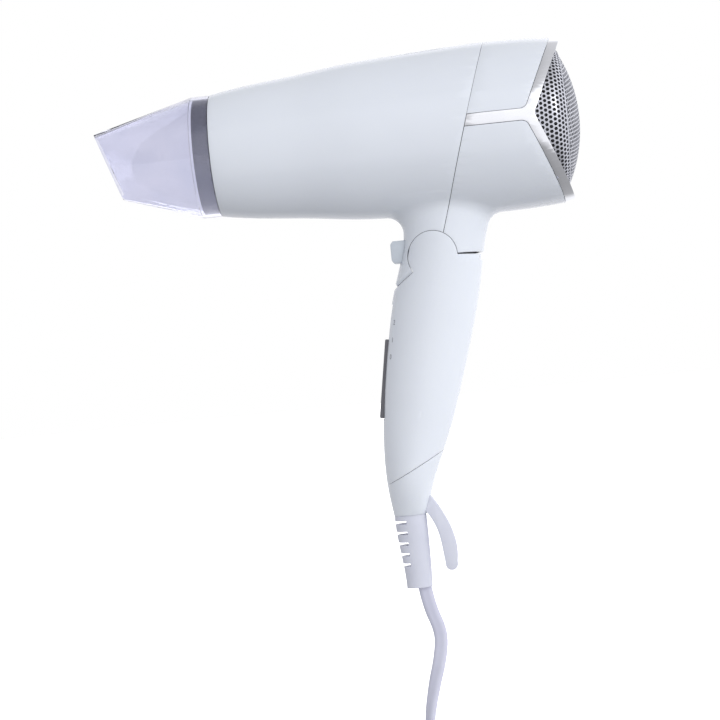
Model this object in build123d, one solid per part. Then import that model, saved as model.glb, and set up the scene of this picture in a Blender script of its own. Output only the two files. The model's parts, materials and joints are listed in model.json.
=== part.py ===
"""Folding hair dryer with a clear air nozzle, in millimetres.

X runs along the barrel, from the nozzle (-X) to the air inlet (+X), Y is across and Z is up.
The origin is the middle of the hand grip. Side-view sizes are stated from the front seam:
"back" is the distance behind it and "up" the height above the barrel axis.
"""

import os
from math import asin, cos, pi, radians, sin, sqrt, tan

from build123d import *

os.makedirs("parts", exist_ok=True)

# Frame: where the grip's middle lies from the front seam on the barrel axis
GRIP_BACK = 92.0
GRIP_DOWN = 120.0

# Handle halves' screws, as back and up
HANDLE_SCREWS = [(112.0, -100.0), (94.0, -146.0)]

# Head casing
WALL = 2.2
GAP = 0.25
BARREL_PROFILE = [(0, 30.5), (16, 33), (45, 36), (65, 38.5), (87, 40), (135, 42.2), (160, 41.6), (175, 40.3)]
JUNCTION_RADIUS = 8.0
SEAM_BACK, SEAM_SLOPE = 124.7, 0.31
TRIM_APEX, TRIM_SLOPE, TRIM_WIDTH = 157.5, 0.448, 5.0
BAR_HALF = 2.75
JOIN_RADIUS = 4.0
TRIM_THICK, TRIM_PROUD = 1.8, 0.15

# Stem, the neck and handle in one flow: up, front, rear, half width
STEM = [
    (-28, 92, 135.5, 19.5),
    (-52, 88.9, 130.4, 19.5),
    (-70, 83.8, 126.4, 19.6),
    (-85, 79.4, 123.0, 19.5),
    (-100, 76.2, 118.8, 19.2),
    (-125, 71.9, 111.0, 18.4),
    (-148, 69.4, 102.9, 17.0),
    (-171, 69.0, 93.1, 14.6),
    (-179, 69.7, 90.3, 11.8),
    (-188, 70.9, 87.3, 7.2),
]
CAP_SEAM = [(110, -151.5), (97, -158), (72.9, -170.2), (58, -177.7)]

# Fold hinge
PIVOT_BACK, PIVOT_UP = 102.7, -61.4
EAR_RADIUS = 12.2
EAR_INNER = 11.0
EAR_ROOT = 15.2
FOLD_ANGLE = 75.0
FRONT_SEAM_ANGLE = 215.0
REAR_GAP_ANGLE, REAR_STEP_ANGLE, REAR_STEP = -2.0, -9.0, 1.0
SWEEP_MARGIN = 2.0
DRUM_PROFILE = [(22.9, 0), (22.9, 5.0), (20.0, 8.0), (17.2, 10.6), (12.2, 14.2), (0, 14.2)]
DRUM_HOLLOW = [(20.6, 0), (20.6, 4.2), (17.9, 7.0), (15.3, 8.8), (12.2, 12.2), (0, 12.2)]
EAR_POCKET = 14.9
KNUCKLE_RADIUS, KNUCKLE_HALF, CHEEK = 11.8, 10.0, 3.4
PIN_RADIUS, PIN_BORE, PIN_FROM, PIN_TO = 6.0, 4.0, 5.6, 13.4
RUNNING = 0.06
THIN_WALL = 1.2
THIN_RADIUS = 25.0

# Outlet and nozzle
SPIGOT_OUT, SPIGOT_IN, SPIGOT_REACH = 27.3, 25.4, 8.6
COLLAR_OUT, COLLAR_LENGTH = 28.8, 8.0
NOZZLE_WALL = 1.4
NOZZLE_BASE = 30.4
MOUTH_TOP, MOUTH_BOTTOM = (-60.5, 16.7), (-48.6, -17.4)
MOUTH_WIDTH = 13.0

# Air path
DUCT_OUT, DUCT_WALL, DUCT_FROM, DUCT_TO = 36.4, 1.6, 97.0, 144.0
MOTOR_RADIUS, MOTOR_FROM, MOTOR_TO = 12.8, 99.0, 123.0
SHAFT_RADIUS, SHAFT_TO = 1.15, 140.0
FAN_RADIUS, FAN_HUB, FAN_FROM, FAN_TO, FAN_BLADES = 33.6, 11.0, 126.5, 139.0, 9
SHIELD_OUT, SHIELD_WALL, SHIELD_FROM, SHIELD_TO = 26.6, 0.8, 6.5, 84.0
COIL_RADIUS, COIL_WIRE, COIL_COUNT, COIL_PITCH = 18.5, 0.8, 9, 6.4

# Inlet grille
GRILLE_SIDE, GRILLE_THICK, GRILLE_FROM = 38.0, 1.3, 151.0
GRILLE_SHOULDER, DOME_EDGE, DOME_TIP = (165.0, 37.7), (173.6, 32.6), 181.6
HOLE_RADIUS, HOLE_PITCH, HOLE_RINGS = 2.0, 5.6, 5
SIDE_ROWS, SIDE_STEP = [(159.5, 3), (164.3, 6)], 8.8

# Controls
BUTTON_SWEEP = 23.3
BUTTON_TOP, BUTTON_BOTTOM, BUTTON_HALF, BUTTON_TIP = -51.5, -63.0, 5.0, 82.2
SLIDER_TOP, SLIDER_BOTTOM = (76.1, -99.9), (69.6, -138.7)
SLIDER_HALF, SLIDER_TRAVEL = 4.6, 17.0

# Cord end
GUARD_SECTIONS = [
    (-184, 71.2, 86.9, 6.4),
    (-190, 71.0, 87.0, 6.5),
    (-205, 72.2, 87.1, 5.8),
    (-224.5, 73.8, 86.7, 5.2),
]
GUARD_GROOVES = [-191.5, -196.8, -202.2, -207.6, -212.8]
GROOVE_HALF, GROOVE_TO = 0.8, 76.8
CLAMP_BACK, CLAMP_UP = 80.5, -175.0
HOOK_HALF = 4.0
HOOK_OUTER = [(89.6, -178.6), (95.9, -189.4), (99.3, -198.0), (100.3, -213.4)]
HOOK_TIP = (97.3, -217.2)
HOOK_INNER = [(94.2, -213.8), (93.2, -204.0), (91.4, -195.5), (88.6, -189.4), (85.0, -184.0)]
CORD_RADIUS = 3.2
CORD_ROUTE = [
    (82.7, -224.5),
    (83.9, -234.5),
    (88.9, -248.0),
    (87.0, -260.5),
    (82.6, -274.0),
    (78.5, -291.0),
    (77.0, -311.0),
    (77.3, -334.0),
    (77.3, -350.0),
]
TAIL_ROUTE = [(77.3, -366.0), (76.6, -388.0), (77.8, -408.0), (77.3, -428.0)]
COIL_OUTER, COIL_ACROSS, COIL_THICK, COIL_DROP = 46.0, 19.6, 17.4, 12.0
COIL_MIDDLE = COIL_OUTER - COIL_ACROSS / 2
PLUG_ACROSS, PLUG_THICK, PLUG_HEIGHT = 36.0, 25.0, 34.0
PLUG_PIN_RADIUS, PLUG_PIN_LENGTH, PLUG_PIN_SPACING = 2.4, 19.0, 19.0


def spot(back, up):
    """A side-view point, turned from the seam's measures into X and Z."""
    return (back - GRIP_BACK, up + GRIP_DOWN)


def place(back, up, across=0.0):
    """The same point as a 3-D location."""
    x, z = spot(back, up)
    return (x, across, z)


BARREL_AXIS = Axis(place(0, 0), (1, 0, 0))
PIVOT = place(PIVOT_BACK, PIVOT_UP)
PIVOT_AXIS = Axis(PIVOT, (0, 1, 0))


def slab(points, half, rounds=()):
    """A side-view polygon extruded to both sides; rounds lists (corner number, radius)."""
    face = Polygon(*[spot(*p) for p in points], align=None)
    for corner, radius in rounds:
        target = Vector(*spot(*points[corner]))
        vertex = min(face.vertices(), key=lambda v: (Vector(v) - target).length)
        face = fillet(vertex, radius)
    return extrude(Plane.XZ * face, half, both=True)


def rod(radius, start, end, hole=0.0):
    """A round bar or tube along the barrel axis between two distances back."""
    bar = Cylinder(radius, end - start) - (Cylinder(hole, end - start) if hole else Part())
    return Pos(*place((start + end) / 2, 0)) * Rot(0, 90, 0) * bar


def pivot_disc(radius, inner, outer, hole=0.0):
    """Matching discs or rings on both sides, about the fold pivot."""
    thick = outer - inner
    disc = Cylinder(radius, thick) - (Cylinder(hole, thick) if hole else Part())
    discs = [Pos(PIVOT[0], side * (inner + outer) / 2, PIVOT[2]) * Rot(90, 0, 0) * disc for side in (-1, 1)]
    return discs[0] + discs[1]


def pivot_drum(radius, half):
    """A drum through the middle, about the fold pivot."""
    return Pos(*PIVOT) * Rot(90, 0, 0) * Cylinder(radius, 2 * half)


def around_pivot(radius, angle):
    """The side-view point at an angle from straight back, positive upward."""
    return (PIVOT_BACK + radius * cos(radians(angle)), PIVOT_UP + radius * sin(radians(angle)))


def sector(start, end, radius, half):
    """A wedge about the pivot between two angles."""
    steps = max(2, int((end - start) / 30) + 1)
    reach = radius / cos(radians((end - start) / steps / 2))
    rim = [around_pivot(reach, start + (end - start) * i / steps) for i in range(steps + 1)]
    return slab([(PIVOT_BACK, PIVOT_UP)] + rim, half)


def barrel(shrink=0.0):
    """The barrel's turned solid, its skin moved in by shrink."""
    skin = Spline(*[spot(back, radius - shrink) for back, radius in BARREL_PROFILE])
    start, end = skin @ 0, skin @ 1
    ends = Polyline(end, (end.X, GRIP_DOWN), (start.X, GRIP_DOWN), start)
    return revolve(make_face(Plane.XZ * (skin + ends)), BARREL_AXIS)


def stem(shrink=0.0):
    """Neck and handle as one loft of ellipses."""
    sections = []
    for up, front, rear, half in STEM:
        middle = Plane(origin=place((front + rear) / 2, up))
        sections.append(middle * Ellipse((rear - front) / 2 - shrink, half - shrink))
    return loft(sections)


def seam(up):
    """How far back the sloping casing seam lies at a height."""
    return SEAM_BACK + SEAM_SLOPE * up


def trim_back(up):
    """How far back the trim's rear edge lies at a height."""
    return TRIM_APEX + TRIM_SLOPE * abs(up)


def turned_drum(profile):
    """A drum turned about the fold pivot from a half profile of radius and half width."""
    half = Polygon((0, 0), *profile, align=None)
    both = half + mirror(half, Plane.XZ)
    return revolve(Plane(PIVOT, x_dir=(-1, 0, 0), z_dir=(0, 0, 1)) * both, PIVOT_AXIS)


def neck_outer(stem_solid):
    """The neck down to the hinge, with the front part turned to pass inside the handle."""
    low = FRONT_SEAM_ANGLE - FOLD_ANGLE - SWEEP_MARGIN
    above = slab([(60, -20), (150, -20), (150, PIVOT_UP + GAP), (60, PIVOT_UP + GAP)], 30)
    swept = sector(low, FRONT_SEAM_ANGLE - 1.0, 26, 30)
    upper = (stem_solid & above) - swept
    drum = turned_drum(DRUM_PROFILE) & swept & stem_solid
    return upper - pivot_disc(EAR_RADIUS + GAP, EAR_POCKET, 30) + drum


def neck_inner(stem_inner):
    """The hollow inside the neck."""
    low = FRONT_SEAM_ANGLE - FOLD_ANGLE - SWEEP_MARGIN
    above = slab([(60, -20), (150, -20), (150, PIVOT_UP - 2), (60, PIVOT_UP - 2)], 30)
    swept = sector(low - 6, FRONT_SEAM_ANGLE + 4, 26, 30)
    hollow = ((stem_inner & above) - swept) + (turned_drum(DRUM_HOLLOW) & stem_inner)
    return hollow + pivot_drum(EAR_RADIUS + GAP, EAR_POCKET)


def at_junction(edge):
    """Whether an edge runs along the line where the neck meets the barrel."""
    x, _, z = edge.center()
    back, up = x + GRIP_BACK, z - GRIP_DOWN
    away = [sqrt((edge @ share).Y ** 2 + ((edge @ share).Z - GRIP_DOWN) ** 2) for share in (0.1, 0.5, 0.9)]
    return 80 < back < 150 and up < -25 and all(abs(reach - 41) < 2.2 for reach in away)


def casing():
    """The three head casing parts: front, rear upper and rear lower."""
    shell = barrel() + neck_outer(stem())
    shell = fillet(shell.edges().filter_by(at_junction), JUNCTION_RADIUS)
    shell -= barrel(WALL) + rod(28.3, -1, 20)
    shell -= neck_inner(stem(WALL))
    reach = 70
    front = slab([(-10, reach), (seam(reach), reach), (seam(-110), -110), (-10, -110)], reach)
    behind = GAP
    upper = slab(
        [
            (seam(reach) + behind, reach),
            (trim_back(reach) - TRIM_WIDTH - GAP, reach),
            (trim_back(BAR_HALF + GAP) - TRIM_WIDTH - GAP, BAR_HALF + GAP),
            (seam(BAR_HALF) + behind, BAR_HALF + GAP),
        ],
        reach,
        rounds=[(2, JOIN_RADIUS - GAP)],
    )
    lower = slab(
        [
            (seam(-BAR_HALF) + behind, -BAR_HALF - GAP),
            (trim_back(BAR_HALF + GAP) - TRIM_WIDTH - GAP, -BAR_HALF - GAP),
            (trim_back(reach) - TRIM_WIDTH - GAP, -reach),
            (seam(-reach) + behind, -reach),
        ],
        reach,
        rounds=[(1, JOIN_RADIUS - GAP)],
    )
    return shell & front, shell & upper, shell & lower


def trim():
    """Polished frame: a ring cut to a V on each side, with a bar running forward to the seam."""
    reach = 60
    outline = [
        (trim_back(reach), reach),
        (TRIM_APEX, 0),
        (trim_back(reach), -reach),
        (trim_back(reach) - TRIM_WIDTH, -reach),
        (trim_back(BAR_HALF) - TRIM_WIDTH, -BAR_HALF),
        (seam(-BAR_HALF) + GAP, -BAR_HALF),
        (seam(BAR_HALF) + GAP, BAR_HALF),
        (trim_back(BAR_HALF) - TRIM_WIDTH, BAR_HALF),
        (trim_back(reach) - TRIM_WIDTH, reach),
    ]
    region = slab(outline, reach, rounds=[(1, JOIN_RADIUS), (4, JOIN_RADIUS), (7, JOIN_RADIUS)])
    return (barrel(-TRIM_PROUD) - barrel(TRIM_THICK)) & region


def outlet_spigot():
    """Grey outlet tube with a flange behind the casing's front edge."""
    flange = rod(28.2, 0.4, 3.4, SPIGOT_OUT)
    return rod(SPIGOT_OUT, -SPIGOT_REACH, 6.0, SPIGOT_IN) + flange


def outlet_grille():
    """Rings and spokes that guard the outlet."""
    guard = rod(SPIGOT_IN, -3.2, -0.8, SPIGOT_IN - 1.2) + rod(3.0, -3.2, -0.8)
    for radius in (9.0, 14.5, 20.0):
        guard += rod(radius + 0.6, -3.2, -0.8, radius - 0.6)
    for turn in range(3):
        spoke = Pos(*place(-2.0, 0)) * Rot(60 * turn, 0, 0) * Box(2.0, 1.2, 2 * SPIGOT_IN - 1.0)
        guard += spoke
    return guard


def nozzle_collar():
    """Ring that grips the outlet tube and carries the nozzle."""
    return rod(COLLAR_OUT, -0.4 - COLLAR_LENGTH, -0.4, SPIGOT_OUT + RUNNING)


def nozzle_form(shrink, base_end):
    """Round base blending into the tall, slanted slot of the mouth."""
    top, bottom = MOUTH_TOP, MOUTH_BOTTOM
    length = sqrt((top[0] - bottom[0]) ** 2 + (top[1] - bottom[1]) ** 2)
    forward = ((bottom[1] - top[1]) / length, 0, (top[0] - bottom[0]) / length)
    over = 1.0 if shrink else 0.0
    centre = Vector(*place((top[0] + bottom[0]) / 2, (top[1] + bottom[1]) / 2)) + Vector(*forward) * over
    mouth = Plane(centre, x_dir=(0, 1, 0), z_dir=forward) * RectangleRounded(
        MOUTH_WIDTH - 2 * shrink, length - 2 * shrink, 3.2 - shrink
    )
    start = Plane(place(-9.5, 0), x_dir=(0, 1, 0), z_dir=(-1, 0, 0))
    cone = loft([start * Circle(NOZZLE_BASE - shrink), mouth])
    return cone + rod(NOZZLE_BASE - shrink, -9.5, base_end)


def nozzle():
    """Clear concentrator nozzle."""
    return nozzle_form(0.0, -GAP) - nozzle_form(NOZZLE_WALL, 1.0)


def heat_shield():
    """Thin insulating tube round the heater."""
    return rod(SHIELD_OUT, SHIELD_FROM, SHIELD_TO, SHIELD_OUT - SHIELD_WALL)


def heater_boards():
    """Two crossed insulating boards that carry the heating wire."""
    board = Box(62, 2 * SHIELD_OUT - 2 * SHIELD_WALL - 1.0, 1.0)
    middle = Pos(*place(45, 0))
    return middle * board + middle * Rot(90, 0, 0) * board


def heating_coils():
    """Turns of heating wire round the crossed boards."""
    turns = []
    for number in range(COIL_COUNT):
        back = 20 + COIL_PITCH * number
        turns.append(Pos(*place(back, 0)) * Rot(0, 90, 0) * Torus(COIL_RADIUS, COIL_WIRE))
    return Compound(children=[Part(t.wrapped) for t in turns])


def thermal_cutout():
    """Bimetal cut-out standing on a heater board."""
    return Pos(*place(32, 2.5, 9.0)) * Box(11, 7, 4.0)


def thermal_fuse():
    """Small one-shot fuse on the other side of the board."""
    return Pos(*place(56, 2.3, 9.0)) * Rot(0, 90, 0) * Cylinder(1.8, 10)


def motor_duct():
    """Air duct with a cone to the heater, guide vanes and the motor's cradle."""
    cone = Polygon(
        spot(84.5, 26.9), spot(DUCT_FROM, DUCT_OUT - DUCT_WALL), spot(DUCT_FROM, DUCT_OUT), spot(84.5, 28.5),
        align=None,
    )
    duct = revolve(Plane.XZ * cone, BARREL_AXIS) + rod(DUCT_OUT, DUCT_FROM, DUCT_TO, DUCT_OUT - DUCT_WALL)
    duct += barrel(WALL) & rod(45, 112, 114, DUCT_OUT - 0.4)
    duct += rod(MOTOR_RADIUS + 1.5, MOTOR_FROM, MOTOR_TO, MOTOR_RADIUS)
    inner, outer = MOTOR_RADIUS + 1.0, DUCT_OUT - 0.8
    vane = Pos(0, 0, (inner + outer) / 2) * Rot(0, 0, 25) * Box(18, 1.2, outer - inner)
    for number in range(7):
        duct += Pos(*place(111, 0)) * Rot(360 * number / 7 + 15, 0, 0) * vane
    return duct - Pos(*place(93.8, -32)) * Cylinder(5.0, 24)


def fan_motor():
    """Direct-current motor can with end bosses and a bearing bore."""
    can = rod(MOTOR_RADIUS, MOTOR_FROM, MOTOR_TO) + rod(4.0, MOTOR_TO, MOTOR_TO + 2.0)
    return can - rod(SHAFT_RADIUS + RUNNING, MOTOR_FROM - 1, MOTOR_TO + 3)


def motor_shaft():
    """Steel shaft through the motor into the fan."""
    return rod(SHAFT_RADIUS, MOTOR_FROM + 1.0, SHAFT_TO)


def fan_impeller():
    """Axial fan with pitched blades."""
    fan = rod(FAN_HUB, FAN_FROM, FAN_TO)
    blade = Pos(0, 0, (FAN_HUB + FAN_RADIUS) / 2 - 0.5) * Rot(0, 0, 48) * Box(14, 1.2, FAN_RADIUS - FAN_HUB + 1)
    for number in range(FAN_BLADES):
        fan += Pos(*place((FAN_FROM + FAN_TO) / 2, 0)) * Rot(360 * number / FAN_BLADES, 0, 0) * blade
    limit = rod(FAN_RADIUS, FAN_FROM, FAN_TO)
    return (fan & limit) - rod(SHAFT_RADIUS, FAN_FROM - 1, SHAFT_TO + 1)


def rectifier_board():
    """Round circuit board with four diodes ahead of the motor."""
    board = rod(11.0, 96.6, 98.0)
    for number in range(4):
        diode = Pos(*place(95.4, 0)) * Rot(90 * number + 45, 0, 0) * Pos(0, 0, 7) * Rot(90, 0, 0) * Cylinder(1.5, 5)
        board += diode
    return board


def grille_cup(inset):
    """Solid under the grille's skin: straight side, round shoulder and shallow dome."""
    edge_back, edge_radius = DOME_EDGE
    tip_back = DOME_TIP - inset
    rise = tip_back - edge_back
    dome_radius = (edge_radius**2 + rise**2) / (2 * rise)
    slope = asin(edge_radius / dome_radius)
    foot = spot(GRILLE_FROM, GRILLE_SIDE - inset)
    bend = spot(GRILLE_SHOULDER[0], GRILLE_SHOULDER[1] - inset)
    edge = spot(edge_back, edge_radius - inset)
    side = Line(foot, bend)
    shoulder = Spline(bend, edge, tangents=(side % 1, (sin(slope), -cos(slope))))
    dome = RadiusArc(edge, spot(tip_back, 0), dome_radius)
    back = Polyline(spot(tip_back, 0), spot(GRILLE_FROM, 0), foot)
    return revolve(make_face(Plane.XZ * (side + shoulder + dome + back)), BARREL_AXIS)


def inlet_grille():
    """Domed inlet grille with holes in six-sided rings and a pierced side wall."""
    drills = []
    for ring in range(1, HOLE_RINGS + 1):
        for number in range(6 * ring):
            side, step = divmod(number, ring)
            turn = side * pi / 3
            across = HOLE_PITCH * (ring * cos(turn) + step * cos(turn + 2 * pi / 3))
            up = HOLE_PITCH * (ring * sin(turn) + step * sin(turn + 2 * pi / 3))
            drills.append(Pos(*place(176, up, across)) * Rot(0, 90, 0) * Cylinder(HOLE_RADIUS, 14))
    drills.append(rod(HOLE_RADIUS, 170, 185))
    for back, count in SIDE_ROWS:
        for side in (90, -90):
            for number in range(count):
                tilt = SIDE_STEP * (number - (count - 1) / 2)
                pin = Pos(0, 0, GRILLE_SIDE) * Cylinder(HOLE_RADIUS, 6)
                drills.append(Pos(*place(back, 0)) * Rot(side + tilt, 0, 0) * pin)
    return grille_cup(0.0) - grille_cup(GRILLE_THICK) - drills


def handle_region(rear_angle):
    """The side-view area of the handle, up to the hinge's seams and down to the end cap."""
    front, rear = around_pivot(60, FRONT_SEAM_ANGLE), around_pivot(60, rear_angle)
    return slab([(PIVOT_BACK, PIVOT_UP), front, (40, -120), *reversed(CAP_SEAM), (140, -120), rear], 30)


def solid_handle(stem_solid):
    """The handle unhollowed: its body, a step under the neck's rear edge and two hinge ears."""
    body = stem_solid & handle_region(REAR_STEP_ANGLE)
    step = stem(REAR_STEP) & handle_region(REAR_GAP_ANGLE)
    return body + step + (stem_solid & pivot_disc(EAR_RADIUS, EAR_INNER, 30))


def slider_plane():
    """Frame on the handle's front: origin at the slider's middle, +Z outward, +Y down."""
    (top_back, top_up), (low_back, low_up) = SLIDER_TOP, SLIDER_BOTTOM
    length = sqrt((top_back - low_back) ** 2 + (top_up - low_up) ** 2)
    outward = (-(top_up - low_up) / length, 0, (top_back - low_back) / length)
    middle = place((top_back + low_back) / 2, (top_up + low_up) / 2)
    return Plane(middle, x_dir=(0, 1, 0), z_dir=outward), length


def slider_box(half, down_from, down_to, depth_from, depth_to):
    """A box in the slider's frame."""
    plane, _ = slider_plane()
    box = Box(2 * half, down_to - down_from, depth_to - depth_from)
    return plane * Pos(0, (down_from + down_to) / 2, (depth_from + depth_to) / 2) * box


def handle_shells():
    """Left and right handle halves with ears, screw bosses and the control openings."""
    _, length = slider_plane()
    outer = stem()
    solid = solid_handle(outer)
    hollow = stem(WALL) - slab([(110, -66), (130, -66), (130, -20), (110, -20)], 30)
    hollow = hollow & slab([(40, -20), (140, -20), (140, -182), (40, -182)], 30)
    thin = stem(THIN_WALL) & sector(205, 290, THIN_RADIUS, 30)
    pads = slab([(94, -61), (111, -61), (111, -74), (94, -74)], 30)
    pads -= slab([(90, -50), (115, -50), (115, -80), (90, -80)], EAR_ROOT)
    keep = pivot_disc(EAR_RADIUS, EAR_INNER, 30) + pads
    shell = solid - ((hollow + thin) - keep) - pivot_drum(KNUCKLE_RADIUS + 0.6, EAR_INNER)
    for back, up in HANDLE_SCREWS:
        boss = Pos(*place(back, up)) * Rot(90, 0, 0) * Cylinder(3.2, 60)
        shell += boss & outer
    shell -= pivot_disc(PIN_RADIUS, EAR_INNER - 1, PIN_TO)
    shell -= pivot_drum(BUTTON_SWEEP, BUTTON_HALF + 0.5)
    shell -= slider_box(SLIDER_HALF + 0.4, -length / 2 - SLIDER_TRAVEL - 0.5, length / 2 + 0.5, -6, 6)
    shell -= handle_screws()
    shell -= Pos(0, 10, 0) * handle_screws()
    half = Box(200, 60, 400)
    return shell & (Pos(0, -30, 0) * half), shell & (Pos(0, 30, 0) * half)


def handle_screws():
    """Screws that clamp the handle halves, their heads sunk in the far side."""
    screws = Part()
    for back, up in HANDLE_SCREWS:
        shank = Cylinder(1.4, 18) + Pos(0, 0, -10) * Cylinder(2.6, 2)
        screws += Pos(*place(back, up)) * Rot(90, 0, 0) * shank
    return screws


def end_cap():
    """Hollow end cap below the sloping seam."""
    region = slab([(back, up - GAP) for back, up in CAP_SEAM] + [(60, -200), (120, -200)], 30)
    floor = slab([(40, -100), (140, -100), (140, -181.5), (40, -181.5)], 30)
    return (stem() & region) - (stem(WALL) & floor)


def cord_guard():
    """Ribbed soft sleeve round the cord."""
    sections = []
    for up, front, rear, half in GUARD_SECTIONS:
        middle = Plane(origin=place((front + rear) / 2, up))
        sections.append(middle * Ellipse((rear - front) / 2, half))
    guard = loft(sections)
    for up in GUARD_GROOVES:
        high, low = up + GROOVE_HALF, up - GROOVE_HALF
        guard -= slab([(60, high), (GROOVE_TO, high), (GROOVE_TO, low), (60, low)], 20)
    return guard - stem()


def hanging_hook():
    """Curved finger beside the sleeve, for hanging the dryer up."""
    outer = Spline(*[spot(*p) for p in HOOK_OUTER])
    inner = Spline(*[spot(*p) for p in HOOK_INNER])
    tip = ThreePointArc(outer @ 1, spot(*HOOK_TIP), inner @ 0)
    root = Line(inner @ 1, outer @ 0)
    finger = extrude(make_face(Plane.XZ * (outer + tip + inner + root)), HOOK_HALF, both=True)
    return finger - stem() - cord_guard_sleeve()


def cord_guard_sleeve():
    """Space kept for the sleeve's root."""
    return Pos(*place(78.8, -188)) * Cylinder(8.4, 8)


def hinge_knuckle():
    """Two cheeks joined by a bridge that is fixed inside the neck."""
    cheeks = pivot_disc(KNUCKLE_RADIUS, KNUCKLE_HALF - CHEEK, KNUCKLE_HALF)
    tabs = slab([(99, -60), (112, -60), (114, -46), (100, -46)], KNUCKLE_HALF)
    tabs -= slab([(90, -70), (120, -70), (120, -40), (90, -40)], KNUCKLE_HALF - CHEEK)
    bridge = slab([(100, -47.5), (118, -47.5), (118, -43), (100, -43)], 30) & stem(WALL)
    bridge -= Pos(*place(106.5, -45)) * Box(11, 9, 12)
    return cheeks + tabs + bridge - pivot_disc(PIN_RADIUS + RUNNING, 0, 30)


def hinge_pins():
    """Hollow pins pressed into the handle's ears."""
    return pivot_disc(PIN_RADIUS, PIN_FROM, PIN_TO, hole=PIN_BORE)


def hinge_washers():
    """Friction washers between the ears and the cheeks."""
    return pivot_disc(9.4, KNUCKLE_HALF + 0.1, EAR_INNER - 0.15, hole=PIN_RADIUS + 0.15)


def cool_button():
    """Cool-air button on the neck's front, with a flange behind the wall."""
    top, low, tip = BUTTON_TOP - 0.2, BUTTON_BOTTOM + 0.2, BUTTON_TIP
    outline = [(tip + 1.2, top), (92.2, top), (92.2, low), (tip + 1.2, low), (tip, low + 1.6), (tip, top - 1.6)]
    flange = slab([(92.4, top + 0.7), (93.6, top + 0.7), (93.6, low - 0.3), (92.4, low - 0.3)], BUTTON_HALF + 0.7)
    return slab(outline, BUTTON_HALF) + flange


def cool_spring():
    """Small return spring behind the button."""
    coil = sweep(Plane((2.2, 0, 0), z_dir=(0, 1, 0)) * Circle(0.3), path=Helix(1.1, 3.2, 2.2))
    return Pos(*place(93.95, -57.2)) * Rot(0, 90, 0) * coil


def cool_switch():
    """Microswitch behind the button."""
    return Pos(*place(100.2, -56.6)) * Box(5.2, 8.0, 8.4)


def switch_bezel():
    """Track plate under the slider."""
    _, length = slider_plane()
    plate = slider_box(SLIDER_HALF + 0.35, -length / 2 - SLIDER_TRAVEL - 0.4, length / 2 + 0.4, -3.0, -1.7)
    return plate - slider_box(2.3, -3.4 - SLIDER_TRAVEL, 3.4, -4, 0)


def power_slider():
    """Long low slider with a stem into the switch, in its off place."""
    _, length = slider_plane()
    plate = slider_box(SLIDER_HALF, -length / 2, length / 2, -1.3, 1.0)
    edges = plate.edges().filter_by(lambda e: e.length > SLIDER_HALF * 1.5)
    outer = [e for e in edges if slider_plane()[0].to_local_coords(e.center()).Z > 0.9]
    return fillet(outer, 0.7) + slider_box(2.0, -3.0, 3.0, -6.5, -1.3)


def switch_body():
    """Slide switch housing behind the track plate."""
    body = slider_box(5.6, -26, 14, -13, -3.4)
    return body - slider_box(2.4, -3.4 - SLIDER_TRAVEL, 3.4, -7.2, 0)


def switch_contacts():
    """Solder tags on the back of the switch."""
    tags = [slider_box(1.6, down - 1.0, down + 1.0, -17, -13) for down in (-20, -11, -2, 7)]
    return tags[0] + tags[1] + tags[2] + tags[3]


def wire(points, radius, bend, across):
    """Pairs of insulated wires along the same side-view route."""
    pair = Part()
    for side in (-across, across):
        path = FilletPolyline(*[place(back, up, side) for back, up in points], radius=bend)
        pair += sweep(Plane(path @ 0, z_dir=path % 0) * Circle(radius), path=path)
    return pair


def cord_clamp():
    """Clamp block that grips the cord inside the end cap."""
    return Pos(*place(CLAMP_BACK, CLAMP_UP)) * Box(9, 14.6, 4.4) - clamp_screws()


def clamp_screws():
    """Screws either side of the clamp."""
    screw = Cylinder(1.2, 5) + Pos(0, 0, 3.3) * Cylinder(2.2, 1.6)
    return Pos(*place(CLAMP_BACK, CLAMP_UP, -4.8)) * screw + Pos(*place(CLAMP_BACK, CLAMP_UP, 4.8)) * screw


def cord_radii(points):
    """Largest tangent radius at each corner of the cord's route."""
    radii = []
    for before, corner, after in zip(points, points[1:], points[2:]):
        one, two = Vector(*corner) - Vector(*before), Vector(*after) - Vector(*corner)
        turn = radians(one.get_angle(two))
        radii.append(0.45 * min(one.length, two.length) / tan(turn / 2))
    return radii


def cord_tube(points, name):
    """Round cord along straight runs and tangent arcs."""
    radii = cord_radii(points)
    path = FilletPolyline(*[place(*p) for p in points], radius=radii)
    tube = sweep(Plane(path @ 0, z_dir=path % 0) * Circle(CORD_RADIUS), path=path)
    share = tube.volume / (pi * CORD_RADIUS**2 * path.length)
    print(name, "radii", [round(r, 1) for r in radii], "length", round(path.length, 1), "volume share", round(share, 4))
    return tube


def coil_centre():
    """Middle of the tied coil, whose left side the cord runs down into."""
    back, up = CORD_ROUTE[-1]
    return place(back + COIL_OUTER - CORD_RADIUS, up - COIL_DROP)


def cord_coil():
    """Outer shape of the tied coil."""
    centre = coil_centre()
    section = RectangleRounded(COIL_ACROSS, COIL_THICK, 5.0)
    ring = Plane(Vector(*centre) + Vector(COIL_MIDDLE, 0, 0), x_dir=(1, 0, 0), z_dir=(0, 0, 1)) * section
    return revolve(ring, Axis(centre, (0, 1, 0)))


def coil_tie():
    """Strap round the coil's right side."""
    x, _, z = coil_centre()
    strap = Box(COIL_ACROSS + 2.4, COIL_THICK + 2.4, 9.0)
    return Pos(x + COIL_MIDDLE, 0, z) * strap - cord_coil()


def cord_tail():
    """Last stretch of cord, from the coil down to the plug."""
    return cord_tube(TAIL_ROUTE, "cord_tail")


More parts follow.
